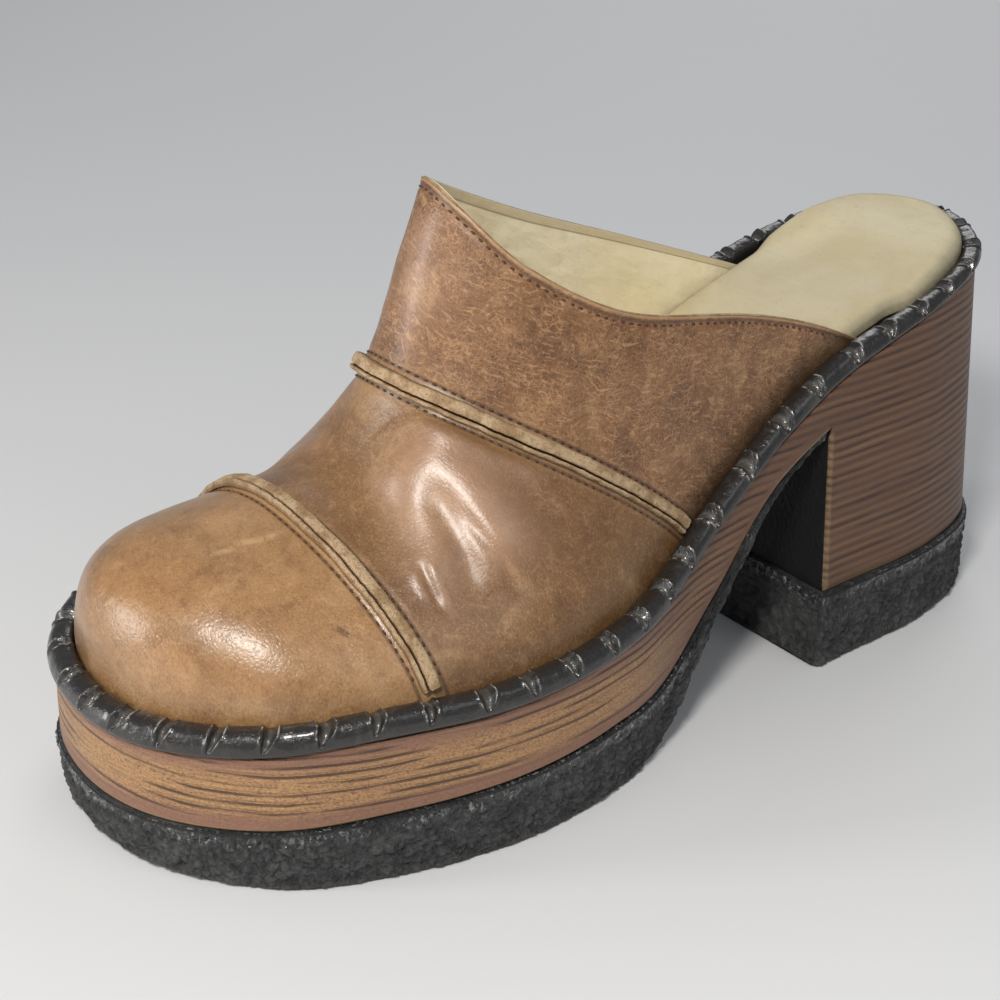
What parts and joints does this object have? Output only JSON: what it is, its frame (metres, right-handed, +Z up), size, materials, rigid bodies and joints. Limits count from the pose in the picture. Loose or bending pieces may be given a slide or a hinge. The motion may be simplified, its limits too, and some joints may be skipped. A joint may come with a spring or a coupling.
{
  "type": "platform clog",
  "caption": "Backless left clog: hollow leather upper with two raised seams on a wood platform and block heel, notched welt, soft insole, crepe forefoot sole and heel lift.",
  "frame": {"origin": "centre of the footprint's box on the floor under the standing shoe", "axes": "+Z up, -Y towards the toe, +X towards the outer (lateral) side of the left foot"},
  "size_m": [0.109, 0.266, 0.1352],
  "materials": {
    "crepe_rubber": "wrinkled black crepe, semi-matt with glossy high spots",
    "wood_finish": "reddish-brown streaked grain, satin",
    "welt_strip": "black notched strip, semi-gloss",
    "insole_leather": "cream smooth leather, lightly worn",
    "upper_leather": "tan-brown waxed leather, burnished and scuffed",
    "raw_leather": "pale raw cut edges, matt"
  },
  "bodies": {
    "root": {"outsole_forefoot": "crepe_rubber", "heel_lift": "crepe_rubber", "platform": "wood_finish", "welt": "welt_strip", "insole": "insole_leather", "upper": "upper_leather", "raised_seam_toe": "raw_leather", "raised_seam_instep": "raw_leather"}
  },
  "joints": []
}
